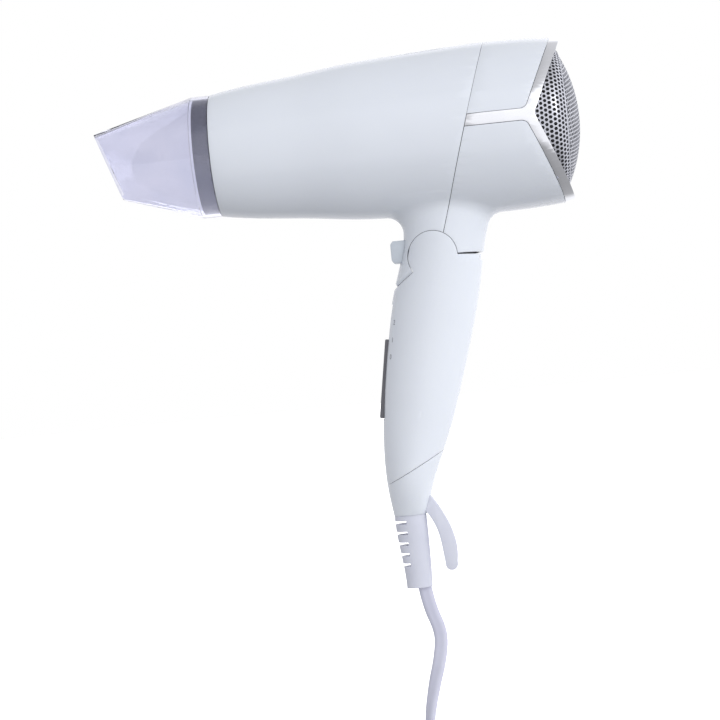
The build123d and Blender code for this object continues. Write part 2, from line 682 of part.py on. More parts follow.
def plug_body():
    """Two-pin mains plug hanging below the coil."""
    x, z = spot(*TAIL_ROUTE[-1])
    half = PLUG_HEIGHT / 2
    body = Pos(x, 0, z - half) * Box(PLUG_ACROSS, PLUG_THICK, PLUG_HEIGHT)
    body = fillet(body.edges().filter_by(Axis.Y), 8.0)
    rims = body.edges().group_by(Axis.Y)
    return fillet(rims[0] + rims[-1], 4.0)


def plug_pins():
    """Round mains pins, their roots held in the plug."""
    x, z = spot(*TAIL_ROUTE[-1])
    pins = Part()
    for side in (-0.5, 0.5):
        pin = Cylinder(PLUG_PIN_RADIUS, PLUG_PIN_LENGTH)
        pin = fillet(pin.edges().group_by(Axis.Z)[0], 1.6)
        pins += Pos(x + side * PLUG_PIN_SPACING, 0, z - PLUG_HEIGHT - PLUG_PIN_LENGTH / 2) * pin
    return pins


def button_opening():
    """Hole in the neck's front wall for the cool-air button."""
    top, low = BUTTON_TOP + 0.1, BUTTON_BOTTOM - 0.1
    return slab([(78, top), (92, top), (92, low), (78, low)], BUTTON_HALF + 0.3)


def head_wires():
    """Wires from the hinge up to the motor board."""
    route = [(106, -60.5), (106, -46), (99.5, -39.5), (94.0, -33), (94.0, -9.5)]
    return wire(route, 1.2, 3.0, 2.2)


def handle_wires():
    """Wires from the switch up to the hinge."""
    return wire([(91.5, -118), (101, -98), (112, -86.5), (111.5, -73), (106, -62.5)], 1.2, 4.0, 2.2)


def mains_leads():
    """Wires from the cord clamp up to the switch."""
    return wire([(CLAMP_BACK, CLAMP_UP + 2.6), (84.5, -160), (87.0, -145), (87.0, -135.5)], 1.2, 5.0, 1.3)


def build():
    """Every node of the hair dryer by name."""
    front_housing, rear_upper_housing, rear_lower_housing = casing()
    handle_left, handle_right = handle_shells()
    return {
        "front_housing": front_housing - button_opening(),
        "rear_upper_housing": rear_upper_housing,
        "rear_lower_housing": rear_lower_housing,
        "trim_frame": trim(),
        "inlet_grille": inlet_grille(),
        "outlet_spigot": outlet_spigot(),
        "outlet_grille": outlet_grille(),
        "heat_shield": heat_shield(),
        "heater_boards": heater_boards(),
        "heating_coils": heating_coils(),
        "thermal_cutout": thermal_cutout(),
        "thermal_fuse": thermal_fuse(),
        "motor_duct": motor_duct(),
        "fan_motor": fan_motor(),
        "rectifier_board": rectifier_board(),
        "motor_shaft": motor_shaft(),
        "fan_impeller": fan_impeller(),
        "hinge_knuckle": hinge_knuckle(),
        "head_wires": head_wires(),
        "cool_button": cool_button(),
        "cool_spring": cool_spring(),
        "cool_switch": cool_switch(),
        "nozzle_collar": nozzle_collar(),
        "nozzle": nozzle(),
        "handle_left": handle_left,
        "handle_right": handle_right,
        "handle_screws": handle_screws(),
        "end_cap": end_cap(),
        "hinge_pins": hinge_pins(),
        "hinge_washers": hinge_washers(),
        "switch_bezel": switch_bezel(),
        "power_slider": power_slider(),
        "switch_body": switch_body(),
        "switch_contacts": switch_contacts(),
        "handle_wires": handle_wires(),
        "mains_leads": mains_leads(),
        "cord_clamp": cord_clamp(),
        "clamp_screws": clamp_screws(),
        "cord_guard": cord_guard(),
        "hanging_hook": hanging_hook(),
        "power_cord": cord_tube(CORD_ROUTE, "power_cord"),
        "cord_coil": cord_coil(),
        "coil_tie": coil_tie(),
        "cord_tail": cord_tail(),
        "plug_body": plug_body(),
        "plug_pins": plug_pins(),
    }


if __name__ == "__main__":
    for node, shape in build().items():
        export_step(shape, f"parts/{node}.step")
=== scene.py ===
import json
import math

import bpy
from mathutils import Matrix, Vector


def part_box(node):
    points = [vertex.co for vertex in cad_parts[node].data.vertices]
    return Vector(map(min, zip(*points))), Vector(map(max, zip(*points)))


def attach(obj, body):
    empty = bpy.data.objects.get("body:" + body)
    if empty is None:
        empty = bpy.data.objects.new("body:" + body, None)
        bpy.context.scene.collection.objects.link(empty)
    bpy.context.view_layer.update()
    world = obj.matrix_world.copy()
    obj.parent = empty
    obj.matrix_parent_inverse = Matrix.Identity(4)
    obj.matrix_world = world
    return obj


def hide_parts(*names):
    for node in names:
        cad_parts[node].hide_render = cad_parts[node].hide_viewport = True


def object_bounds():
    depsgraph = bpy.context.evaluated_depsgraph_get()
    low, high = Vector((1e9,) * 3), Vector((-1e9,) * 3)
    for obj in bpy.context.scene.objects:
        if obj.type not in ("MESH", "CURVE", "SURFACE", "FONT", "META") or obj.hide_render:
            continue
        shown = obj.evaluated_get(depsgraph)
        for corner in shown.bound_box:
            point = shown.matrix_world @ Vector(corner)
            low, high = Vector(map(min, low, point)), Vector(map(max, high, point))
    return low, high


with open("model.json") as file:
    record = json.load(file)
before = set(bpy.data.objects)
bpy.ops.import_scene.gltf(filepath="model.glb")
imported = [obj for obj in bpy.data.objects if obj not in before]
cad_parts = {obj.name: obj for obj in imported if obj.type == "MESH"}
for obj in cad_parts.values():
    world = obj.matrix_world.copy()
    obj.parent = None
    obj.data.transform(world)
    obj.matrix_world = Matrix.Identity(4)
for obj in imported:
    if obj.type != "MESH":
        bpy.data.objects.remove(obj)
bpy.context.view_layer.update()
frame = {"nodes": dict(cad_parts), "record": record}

MM = 0.001
SEAM_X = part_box("front_housing")[0].x
AXIS_Z = (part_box("nozzle_collar")[0].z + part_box("nozzle_collar")[1].z) / 2


def place(back, up, across=0.0):
    """A point measured in millimetres from the front seam on the barrel axis."""
    return Vector((SEAM_X + back * MM, across * MM, AXIS_Z + up * MM))


# ---------------------------------------------------------------- camera

LOOK_AT = place(61.4, -108.8)
CAMERA_DISTANCE = 0.935
CAMERA_TURN = math.radians(3.2)
CAMERA_ROLL = math.radians(5.6)
FIELD_OF_VIEW = math.radians(21.8)
SENSOR_WIDTH = 36.0


def add_camera():
    """Camera level with the grip, rolled so that the barrel tips up towards the inlet."""
    data = bpy.data.cameras.new("camera")
    camera = bpy.data.objects.new("camera", data)
    bpy.context.scene.collection.objects.link(camera)
    toward = Vector((math.sin(CAMERA_TURN), -math.cos(CAMERA_TURN), 0.0))
    side = toward.cross(Vector((0, 0, -1))).normalized()
    upright = Vector((0, 0, 1))
    right = side * math.cos(CAMERA_ROLL) - upright * math.sin(CAMERA_ROLL)
    upward = side * math.sin(CAMERA_ROLL) + upright * math.cos(CAMERA_ROLL)
    turned = Matrix((right, upward, toward)).transposed()
    camera.matrix_world = Matrix.Translation(LOOK_AT + toward * CAMERA_DISTANCE) @ turned.to_4x4()
    data.sensor_width = SENSOR_WIDTH
    data.lens = data.sensor_width / 2 / math.tan(FIELD_OF_VIEW / 2)
    data.clip_start, data.clip_end = 0.05, 30.0
    bpy.context.scene.camera = camera


# ---------------------------------------------------------------- helpers

WELD_WITHIN = 0.002 * MM
FLAT_WITHIN = math.radians(0.6)
SHARP_EDGE = math.radians(28.0)
EDGE_STEPS = 2


def only(piece):
    """Deselects everything but one piece and makes it active."""
    bpy.ops.object.select_all(action="DESELECT")
    piece.select_set(True)
    bpy.context.view_layer.objects.active = piece


def settle(piece):
    """Moves a piece's place into its mesh."""
    only(piece)
    bpy.ops.object.transform_apply(location=True, rotation=True, scale=True)


def press(piece, kind, **settings):
    """Adds a modifier and applies it."""
    only(piece)
    modifier = piece.modifiers.new(kind.lower(), kind)
    for name, value in settings.items():
        setattr(modifier, name, value)
    bpy.ops.object.modifier_apply(modifier=modifier.name)


def smooth(piece, angle=35.0):
    """Smooth shading with crisp edges past an angle."""
    only(piece)
    bpy.ops.object.shade_smooth_by_angle(angle=math.radians(angle))


def paint(piece, finish):
    """Gives a piece one material."""
    piece.data.materials.clear()
    piece.data.materials.append(finish)


def moulded(node, name, finish, body, edge):
    """A copy of a CAD piece with its sharp edges rounded, standing for it."""
    source = frame["nodes"][node]
    piece = bpy.data.objects.new(name, source.data.copy())
    bpy.context.scene.collection.objects.link(piece)
    only(piece)
    bpy.ops.object.mode_set(mode="EDIT")
    bpy.ops.mesh.select_all(action="SELECT")
    bpy.ops.mesh.remove_doubles(threshold=WELD_WITHIN)
    bpy.ops.mesh.dissolve_limited(angle_limit=FLAT_WITHIN)
    bpy.ops.object.mode_set(mode="OBJECT")
    press(
        piece, "BEVEL", width=edge * MM, segments=EDGE_STEPS, limit_method="ANGLE",
        angle_limit=SHARP_EDGE, harden_normals=False, use_clamp_overlap=True,
    )
    smooth(piece)
    paint(piece, finish)
    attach(piece, body)
    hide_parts(node)
    return piece


# ---------------------------------------------------------------- finishes


def shader(name):
    """A new node material, its shader, its node maker and its link maker."""
    finish = bpy.data.materials.new(name)
    finish.use_nodes = True
    tree = finish.node_tree
    return finish, tree.nodes["Principled BSDF"], tree.nodes.new, tree.links.new


def grain(new, link, scale, detail=3.0):
    """Noise over the piece's own coordinates."""
    where = new("ShaderNodeTexCoord")
    noise = new("ShaderNodeTexNoise")
    noise.inputs["Scale"].default_value = scale
    noise.inputs["Detail"].default_value = detail
    link(where.outputs["Object"], noise.inputs["Vector"])
    return noise


def spread(new, link, noise, low, high):
    """The noise's middle range spread between two values."""
    spread_node = new("ShaderNodeMapRange")
    spread_node.inputs["From Min"].default_value = 0.3
    spread_node.inputs["From Max"].default_value = 0.7
    spread_node.inputs["To Min"].default_value = low
    spread_node.inputs["To Max"].default_value = high
    link(noise.outputs["Fac"], spread_node.inputs["Value"])
    return spread_node.outputs["Result"]


def tinted(new, link, noise, dark, light):
    """A colour that drifts between two near shades."""
    ramp = new("ShaderNodeValToRGB")
    ramp.color_ramp.elements[0].position, ramp.color_ramp.elements[1].position = 0.3, 0.7
    ramp.color_ramp.elements[0].color, ramp.color_ramp.elements[1].color = (*dark, 1), (*light, 1)
    link(noise.outputs["Fac"], ramp.inputs["Fac"])
    return ramp.outputs["Color"]


def rough_skin(new, link, noise, shade, strength, depth):
    """Fine relief on a shader's normal."""
    bump = new("ShaderNodeBump")
    bump.inputs["Strength"].default_value = strength
    bump.inputs["Distance"].default_value = depth * MM
    link(noise.outputs["Fac"], bump.inputs["Height"])
    link(bump.outputs["Normal"], shade.inputs["Normal"])


def gloss_plastic(name, dark, light, rough=(0.10, 0.15)):
    """Polished moulded plastic with a very slight flow in shade and gloss."""
    finish, shade, new, link = shader(name)
    slow, fine = grain(new, link, 26.0), grain(new, link, 900.0, 1.0)
    link(tinted(new, link, slow, dark, light), shade.inputs["Base Color"])
    link(spread(new, link, slow, *rough), shade.inputs["Roughness"])
    rough_skin(new, link, fine, shade, 0.05, 0.01)
    shade.inputs["IOR"].default_value = 1.52
    shade.inputs["Subsurface Weight"].default_value = 0.08
    shade.inputs["Subsurface Radius"].default_value = (0.002, 0.002, 0.0024)
    return finish


def matt_plastic(name, dark, light, rough=(0.38, 0.5), scale=1400.0, depth=0.03):
    """Spark-eroded plastic with an even fine texture."""
    finish, shade, new, link = shader(name)
    slow, fine = grain(new, link, 40.0), grain(new, link, scale, 2.0)
    link(tinted(new, link, slow, dark, light), shade.inputs["Base Color"])
    link(spread(new, link, fine, *rough), shade.inputs["Roughness"])
    rough_skin(new, link, fine, shade, 0.35, depth)
    return finish


def metal(name, dark, light, rough=(0.18, 0.28), scale=300.0, depth=0.004):
    """Bare or plated metal with faint polishing marks."""
    finish, shade, new, link = shader(name)
    slow, fine = grain(new, link, 30.0), grain(new, link, scale, 4.0)
    link(tinted(new, link, slow, dark, light), shade.inputs["Base Color"])
    link(spread(new, link, fine, *rough), shade.inputs["Roughness"])
    rough_skin(new, link, fine, shade, 0.2, depth)
    shade.inputs["Metallic"].default_value = 1.0
    return finish


def soft_plastic(name, dark, light):
    """Flexible moulded plastic, half dull, that lets a little light in."""
    finish, shade, new, link = shader(name)
    slow, fine = grain(new, link, 60.0), grain(new, link, 1100.0, 2.0)
    link(tinted(new, link, slow, dark, light), shade.inputs["Base Color"])
    link(spread(new, link, fine, 0.32, 0.44), shade.inputs["Roughness"])
    rough_skin(new, link, fine, shade, 0.2, 0.02)
    shade.inputs["Subsurface Weight"].default_value = 0.15
    shade.inputs["Subsurface Radius"].default_value = (0.0025, 0.0025, 0.003)
    return finish


def clear_plastic():
    """Clear moulding with a faint lilac tint and tiny ripples."""
    finish, shade, new, link = shader("clear_plastic")
    slow, fine = grain(new, link, 35.0), grain(new, link, 70.0, 1.0)
    tint = tinted(new, link, slow, (0.74, 0.75, 0.85), (0.82, 0.82, 0.90))
    link(tint, shade.inputs["Base Color"])
    link(spread(new, link, slow, 0.015, 0.05), shade.inputs["Roughness"])
    rough_skin(new, link, fine, shade, 0.08, 0.05)
    shade.inputs["IOR"].default_value = 1.49
    shade.inputs["Transmission Weight"].default_value = 1.0
    return finish


WHITE = gloss_plastic("white_shell", (0.77, 0.81, 0.86), (0.79, 0.83, 0.88))
LIGHT_GREY = gloss_plastic("light_grey", (0.58, 0.63, 0.68), (0.62, 0.67, 0.72), (0.2, 0.28))
CHROME = metal("trim_chrome", (0.78, 0.79, 0.81), (0.84, 0.85, 0.87), (0.05, 0.09))
SILVER = metal("grille_silver", (0.50, 0.51, 0.55), (0.60, 0.61, 0.65), (0.30, 0.40))
STEEL = metal("steel", (0.50, 0.50, 0.52), (0.58, 0.58, 0.60))
BRASS = metal("brass", (0.66, 0.48, 0.20), (0.74, 0.56, 0.26))
GREY = matt_plastic("grey_plastic", (0.22, 0.225, 0.26), (0.26, 0.265, 0.30), (0.22, 0.32))
DARK = matt_plastic("dark_plastic", (0.018, 0.018, 0.020), (0.028, 0.028, 0.032))
BOARD = matt_plastic(
    "insulating_board", (0.52, 0.46, 0.34), (0.62, 0.56, 0.42), (0.5, 0.7), 500.0, 0.06
)
GREEN = matt_plastic("board_green", (0.01, 0.08, 0.03), (0.02, 0.12, 0.05), (0.25, 0.35))
WIRE = soft_plastic("copper_wire", (0.35, 0.03, 0.02), (0.42, 0.04, 0.03))
SLIDER_GREY = matt_plastic("slider_grey", (0.12, 0.12, 0.135), (0.15, 0.15, 0.165), (0.3, 0.4))
SOFT = soft_plastic("soft_white", (0.64, 0.66, 0.74), (0.70, 0.72, 0.80))
CORD = soft_plastic("cord_white", (0.60, 0.61, 0.72), (0.66, 0.67, 0.78))
CLEAR = clear_plastic()

SLOT_FINISH = {
    "white_shell": WHITE,
    "light_grey": LIGHT_GREY,
    "trim_chrome": CHROME,
    "grille_silver": SILVER,
    "steel": STEEL,
    "brass": BRASS,
    "grey_plastic": GREY,
    "dark_plastic": DARK,
    "insulating_board": BOARD,
    "board_green": GREEN,
    "copper_wire": WIRE,
    "soft_white": SOFT,
    "cord_white": CORD,
    "clear_plastic": CLEAR,
}


def dress_frame(slots):
    """Gives every CAD piece the finish of its own material slot."""
    for name, node in frame["nodes"].items():
        paint(node, SLOT_FINISH[slots[name]])


# ---------------------------------------------------------------- cord

CORD_WIDTH, CORD_THICK = 6.8, 4.0
CORD_ROUTE = [
    (82.7, -224.5),
    (83.9, -234.5),
    (88.9, -248.0),
    (87.0, -260.5),
    (82.6, -274.0),
    (78.5, -291.0),
    (77.0, -311.0),
    (77.3, -334.0),
    (77.3, -350.0),
]
TAIL_ROUTE = [(77.3, -366.0), (76.6, -388.0), (77.8, -408.0), (77.3, -428.0)]
COIL_TURNS = 7
POINTS_PER_TURN = 16
COIL_LAYERS = 4
LAYER_STEP = 4.15
LAYER_SWAP = 0.3
TURN_SPACING = 1.015
SECTION_POINTS = 20
SECTION_FLATNESS = 0.8
GROOVE_DEPTH, GROOVE_WIDTH = 0.2, 0.28
TWIST_DEGREES, TWIST_CENTRE, TWIST_SPREAD = 78.0, 0.052, 0.052


def layer_across(turns):
    """How far to the side the coil's winding lies after a number of turns."""
    across = 0.0
    first = -LAYER_STEP * (COIL_LAYERS - 1) / 2
    for layer in range(COIL_LAYERS + 1):
        rise = first if layer == 0 else (first if layer == COIL_LAYERS else LAYER_STEP)
        middle = COIL_TURNS * layer / COIL_LAYERS
        middle += LAYER_SWAP if layer == 0 else (-LAYER_SWAP if layer == COIL_LAYERS else 0.0)
        share = min(1.0, max(0.0, (turns - middle) / (2 * LAYER_SWAP) + 0.5))
        across += rise * share * share * (3 - 2 * share)
    return across


def coil_points():
    """Turns that wind inwards and outwards again, layer beside layer."""
    low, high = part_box("cord_coil")
    centre = (low + high) / 2
    outer = (high.x - low.x) / 2 - CORD_WIDTH * MM / 2
    pitch = CORD_WIDTH * MM * TURN_SPACING
    per_layer = COIL_TURNS / COIL_LAYERS
    points = []
    for number in range(1, COIL_TURNS * POINTS_PER_TURN):
        turns = number / POINTS_PER_TURN
        along = turns % (2 * per_layer)
        radius = outer - pitch * min(along, 2 * per_layer - along)
        angle = math.pi + 2 * math.pi * turns
        across = layer_across(turns) * MM
        points.append(centre + Vector((radius * math.cos(angle), across, radius * math.sin(angle))))
    return points


def route_line():
    """The cord's smooth centre line, read from its spline."""
    lead_in = [place(*point) for point in CORD_ROUTE]
    tail = [place(*point) for point in TAIL_ROUTE]
    points = lead_in + coil_points() + tail
    data = bpy.data.curves.new("cord_route", "CURVE")
    data.dimensions = "3D"
    data.resolution_u = 6
    spline = data.splines.new("NURBS")
    spline.points.add(len(points) - 1)
    for slot_point, point in zip(spline.points, points):
        slot_point.co = (*point, 1.0)
    spline.order_u = 3
    spline.use_endpoint_u = True
    route = bpy.data.objects.new("cord_route", data)
    bpy.context.scene.collection.objects.link(route)
    line = bpy.data.meshes.new_from_object(route)
    path = [vertex.co.copy() for vertex in line.vertices]
    bpy.data.objects.remove(route)
    bpy.data.meshes.remove(line)
    return path


def flat_section(turn):
    """Outline of a two-core flat cord, turned about its centre."""
    outline = []
    for number in range(SECTION_POINTS):
        angle = 2 * math.pi * number / SECTION_POINTS
        wide = CORD_WIDTH / 2 * math.cos(angle)
        waist = 1 - GROOVE_DEPTH * math.exp(-((math.cos(angle) / GROOVE_WIDTH) ** 2))
        bulge = math.copysign(abs(math.sin(angle)) ** SECTION_FLATNESS, math.sin(angle))
        thick = CORD_THICK / 2 * bulge * waist
        outline.append(
            (
                (wide * math.cos(turn) - thick * math.sin(turn)) * MM,
                (wide * math.sin(turn) + thick * math.cos(turn)) * MM,
            )
        )
    return outline


def add_cord():
    """The flat mains cord, from the sleeve to the plug."""
    path = route_line()
    vertices, faces = [], []
    travelled = [0.0]
    for before, after in zip(path, path[1:]):
        travelled.append(travelled[-1] + (after - before).length)
    length = travelled[-1]
    for number, point in enumerate(path):
        ahead = path[min(number + 1, len(path) - 1)] - path[max(number - 1, 0)]
        ahead.normalize()
        depth = Vector((0, 1, 0))
        depth = (depth - ahead * depth.dot(ahead)).normalized()
        side = depth.cross(ahead)
        from_twist = (travelled[number] / length - TWIST_CENTRE) / TWIST_SPREAD * 2
        turn = math.radians(TWIST_DEGREES) * math.exp(-(from_twist**2))
        for wide, thick in flat_section(turn):
            vertices.append(point + side * wide + depth * thick)
    rows = len(path)
    for row in range(rows - 1):
        for step in range(SECTION_POINTS):
            near, far = row * SECTION_POINTS, (row + 1) * SECTION_POINTS
            following = (step + 1) % SECTION_POINTS
            faces.append((near + step, near + following, far + following, far + step))
    faces.append(tuple(reversed(range(SECTION_POINTS))))
    faces.append(tuple((rows - 1) * SECTION_POINTS + step for step in range(SECTION_POINTS)))
    mesh = bpy.data.meshes.new("mains_cord")
    mesh.from_pydata([tuple(v) for v in vertices], [], faces)
    cord = bpy.data.objects.new("mains_cord", mesh)
    bpy.context.scene.collection.objects.link(cord)
    only(cord)
    bpy.ops.object.mode_set(mode="EDIT")
    bpy.ops.mesh.select_all(action="SELECT")
    bpy.ops.mesh.normals_make_consistent(inside=False)
    bpy.ops.object.mode_set(mode="OBJECT")
    smooth(cord, 60)
    paint(cord, CORD)
    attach(cord, "handle")
    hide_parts("power_cord", "cord_coil", "cord_tail")
    return cord, path, length


# ---------------------------------------------------------------- shell pieces

MOULDED = [
    ("front_housing", "front_shell", "head", 0.35),
    ("rear_upper_housing", "rear_top_shell", "head", 0.3),
    ("rear_lower_housing", "rear_bottom_shell", "head", 0.3),
    ("trim_frame", "trim", "head", 0.35),
    ("outlet_spigot", "outlet_tube", "head", 0.3),
    ("outlet_grille", "outlet_guard", "head", 0.2),
    ("hinge_knuckle", "knuckle", "head", 0.3),
    ("cool_button", "cool_air_button", "button", 0.4),
    ("nozzle_collar", "nozzle_ring", "collar", 0.3),
    ("handle_left", "handle_near_half", "handle", 0.3),
    ("handle_right", "handle_far_half", "handle", 0.3),
    ("end_cap", "handle_cap", "handle", 0.35),
    ("hanging_hook", "hook", "handle", 1.6),
    ("cord_guard", "cord_sleeve", "handle", 0.35),
    ("switch_bezel", "slider_track", "handle", 0.15),
    ("plug_body", "plug_shell", "handle", 0.5),
    ("plug_pins", "pins", "handle", 0.15),
    ("coil_tie", "cord_tie", "handle", 0.8),
]


def add_moulded_pieces(slots):
    """Rounded copies of the CAD pieces whose edges catch the light."""
    for node, name, body, edge in MOULDED:
        moulded(node, name, SLOT_FINISH[slots[node]], body, edge)


# ---------------------------------------------------------------- inlet grille

CELL_PITCH, CELL_HOLE = 2.2, 0.78
SHEET_THICK, RIM_THICK = 0.42, 0.45
DOME_TIP_BACK, DOME_EDGE_BACK, DOME_EDGE_RADIUS = 181.6, 173.6, 32.6
SHOULDER_BACK, SHOULDER_RADIUS = 165.0, 37.7
SHOULDER_CONTROL = (171.0, 37.6)
SHOULDER_RUN = 10.4
SIDE_FROM, SIDE_RADIUS = 152.0, 38.0
BAND_CELLS = 104
DOME_TURN = math.radians(14)
DOME_RISE = DOME_TIP_BACK - DOME_EDGE_BACK
DOME_CURVE = (DOME_EDGE_RADIUS**2 + DOME_RISE**2) / (2 * DOME_RISE)
CELLS_WELD_WITHIN = 0.08 * MM


def one_cell(pitch, hole):
    """A six-sided piece of sheet with a hole, flat at the origin, in millimetres."""
    bpy.ops.object.select_all(action="DESELECT")
    bpy.ops.mesh.primitive_circle_add(vertices=6, radius=pitch / math.sqrt(3), fill_type="NGON")
    cell = bpy.context.object
    bpy.ops.object.mode_set(mode="EDIT")
    bpy.ops.mesh.inset(thickness=pitch / 2 - hole)
    bpy.ops.mesh.delete(type="FACE")
    bpy.ops.object.mode_set(mode="OBJECT")
    corners = [vertex.co.copy() for vertex in cell.data.vertices]
    faces = [tuple(face.vertices) for face in cell.data.polygons]
    bpy.data.objects.remove(cell)
    return corners, faces


def cell_pointing_up(cell):
    """The cell turned so that its corners point along the rows' step."""
    corners, faces = cell
    if abs(corners[0].x) < abs(corners[0].y) * 0.01:
        return cell
    return [Vector((corner.y, -corner.x, 0)) for corner in corners], faces


def sheet_of_cells(name, centres, cell, wrap):
    """Copies of one cell at flat places, wrapped to shape, joined and given a thickness."""
    corners, cell_faces = cell
    vertices, faces = [], []
    for across, along in centres:
        start = len(vertices)
        vertices += [tuple(wrap(across + corner.x, along + corner.y)) for corner in corners]
        faces += [tuple(start + number for number in face) for face in cell_faces]
    mesh = bpy.data.meshes.new(name)
    mesh.from_pydata(vertices, [], faces)
    sheet = bpy.data.objects.new(name, mesh)
    bpy.context.scene.collection.objects.link(sheet)
    only(sheet)
    bpy.ops.object.mode_set(mode="EDIT")
    bpy.ops.mesh.select_all(action="SELECT")
    bpy.ops.mesh.remove_doubles(threshold=CELLS_WELD_WITHIN)
    bpy.ops.object.mode_set(mode="OBJECT")
    press(sheet, "SOLIDIFY", thickness=SHEET_THICK * MM, offset=-1.0, use_even_offset=False)
    smooth(sheet, 35)
    paint(sheet, SILVER)
    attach(sheet, "head")
    return sheet


def on_dome(across, up):
    """A flat point laid on the dome by its distance from the middle."""
    run, turn = math.hypot(across, up), math.atan2(up, across)
    lean = run / DOME_CURVE
    radius = DOME_CURVE * math.sin(lean)
    back = DOME_TIP_BACK - DOME_CURVE * (1 - math.cos(lean))
    return place(back, radius * math.sin(turn), radius * math.cos(turn))


def on_side(around, along):
    """A flat point wrapped round the straight side and the shoulder."""
    turn = around / SIDE_RADIUS
    straight = SHOULDER_BACK - SIDE_FROM
    if along <= straight:
        back = SIDE_FROM + along
        radius = SIDE_RADIUS + (SHOULDER_RADIUS - SIDE_RADIUS) * along / straight
    else:
        share = min(1.0, (along - straight) / SHOULDER_RUN)
        back = (1 - share) ** 2 * SHOULDER_BACK + 2 * share * (1 - share) * SHOULDER_CONTROL[0]
        back += share**2 * DOME_EDGE_BACK
        radius = (1 - share) ** 2 * SHOULDER_RADIUS + 2 * share * (1 - share) * SHOULDER_CONTROL[1]
        radius += share**2 * DOME_EDGE_RADIUS
    return place(back, radius * math.sin(turn), -radius * math.cos(turn))


def add_inlet_rim():
    """The thin round rim where the dome meets the side band."""
    bpy.ops.object.select_all(action="DESELECT")
    bpy.ops.mesh.primitive_torus_add(
        major_radius=(DOME_EDGE_RADIUS - 0.1) * MM, minor_radius=RIM_THICK * MM,
        major_segments=96, minor_segments=12,
        location=place(DOME_EDGE_BACK - 0.2, 0), rotation=(0, math.pi / 2, 0),
    )
    ring = bpy.context.object
    ring.name = "inlet_rim"
    settle(ring)
    smooth(ring, 60)
    paint(ring, SILVER)
    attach(ring, "head")


# Profile of a dark sheet inside the grille: painted shade that makes the grille's holes read dark.
SCREEN_PROFILE = [
    (152, 36.9),
    (164, 36.6),
    (169.8, 35.3),
    (172.6, 31.4),
    (176.6, 22.0),
    (179.2, 12.0),
    (180.2, 3.0),
]
SCREEN_THICK = 0.3


def add_painted_shade_screen():
    """Dark sheet just inside the grille, painted shade that makes the holes read dark, drawn out
    ring by ring from its foot.
    """
    back, radius = SCREEN_PROFILE[0]
    bpy.ops.object.select_all(action="DESELECT")
    bpy.ops.mesh.primitive_circle_add(
        vertices=72, radius=radius * MM, fill_type="NOTHING",
        location=place(back, 0), rotation=(0, math.pi / 2, 0),
    )
    screen = bpy.context.object
    screen.name = "painted_shade_screen"
    settle(screen)
    centre = place(0, 0)
    bpy.ops.object.mode_set(mode="EDIT")
    bpy.ops.mesh.select_all(action="SELECT")
    for (back, radius), (next_back, next_radius) in zip(SCREEN_PROFILE, SCREEN_PROFILE[1:]):
        step = ((next_back - back) * MM, 0, 0)
        bpy.ops.mesh.extrude_edges_move(TRANSFORM_OT_translate={"value": step})
        share = next_radius / radius
        bpy.ops.transform.resize(value=(1, share, share), center_override=(0, 0, centre.z))
    bpy.ops.mesh.edge_face_add()
    bpy.ops.mesh.select_all(action="SELECT")
    bpy.ops.mesh.normals_make_consistent(inside=False)
    bpy.ops.object.mode_set(mode="OBJECT")
    press(screen, "SOLIDIFY", thickness=SCREEN_THICK * MM, offset=-1.0)
    smooth(screen, 40)
    paint(screen, DARK)
    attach(screen, "head")


def add_inlet_grille():
    """Finely pierced dome and side band, with a rim where they meet."""
    reach = DOME_CURVE * math.asin(DOME_EDGE_RADIUS / DOME_CURVE)
    rows = int(reach / (CELL_PITCH * math.sqrt(3) / 2)) + 1
    cos_turn, sin_turn = math.cos(DOME_TURN), math.sin(DOME_TURN)
    centres = []
    for row in range(-rows, rows + 1):
        shift = 0.5 * (row % 2)
        for number in range(-rows, rows + 1):
            across, up = (number + shift) * CELL_PITCH, row * CELL_PITCH * math.sqrt(3) / 2
            across, up = across * cos_turn - up * sin_turn, across * sin_turn + up * cos_turn
            if math.hypot(across, up) < reach - CELL_PITCH * 0.3:
                centres.append((across, up))
    cell = one_cell(CELL_PITCH, CELL_HOLE)
    corners, faces = cell_pointing_up(cell)
    turned = [Matrix.Rotation(DOME_TURN, 3, "Z") @ corner for corner in corners]
    dome = sheet_of_cells("inlet_dome_mesh", centres, (turned, faces), on_dome)
    pitch = 2 * math.pi * SIDE_RADIUS / BAND_CELLS
    band_cell = cell_pointing_up(one_cell(pitch, CELL_HOLE))
    row_step = pitch * math.sqrt(3) / 2
    band_centres = []
    for row in range(int((SHOULDER_BACK - SIDE_FROM + SHOULDER_RUN) / row_step)):
        for number in range(BAND_CELLS):
            band_centres.append(((number + 0.5 * (row % 2)) * pitch, (row + 0.7) * row_step))
    band = sheet_of_cells("inlet_side_mesh", band_centres, band_cell, on_side)
    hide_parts("inlet_grille")
    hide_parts("inlet_grille")
    add_inlet_rim()


# ---------------------------------------------------------------- controls

MARKS = [("2", 80.6, -92.0), ("1", 78.9, -100.6), ("0", 77.3, -108.8)]
MARK_HEIGHT, MARK_THICK, MARK_PROUD = 3.6, 0.05, 0.06
SECTION_REACH = 6.0
MOST_LEAN = 0.97
HANDLE_UPRIGHT = Vector((0.17, 0, 0.985))


def handle_section(up):
    """Front, rear and half width of the handle at a height, read from its near half."""
    height = place(0, up).z
    skin = frame["nodes"]["handle_left"].data.vertices
    near = [v.co for v in skin if abs(v.co.z - height) < SECTION_REACH * MM]
    return min(v.x for v in near), max(v.x for v in near), -min(v.y for v in near)


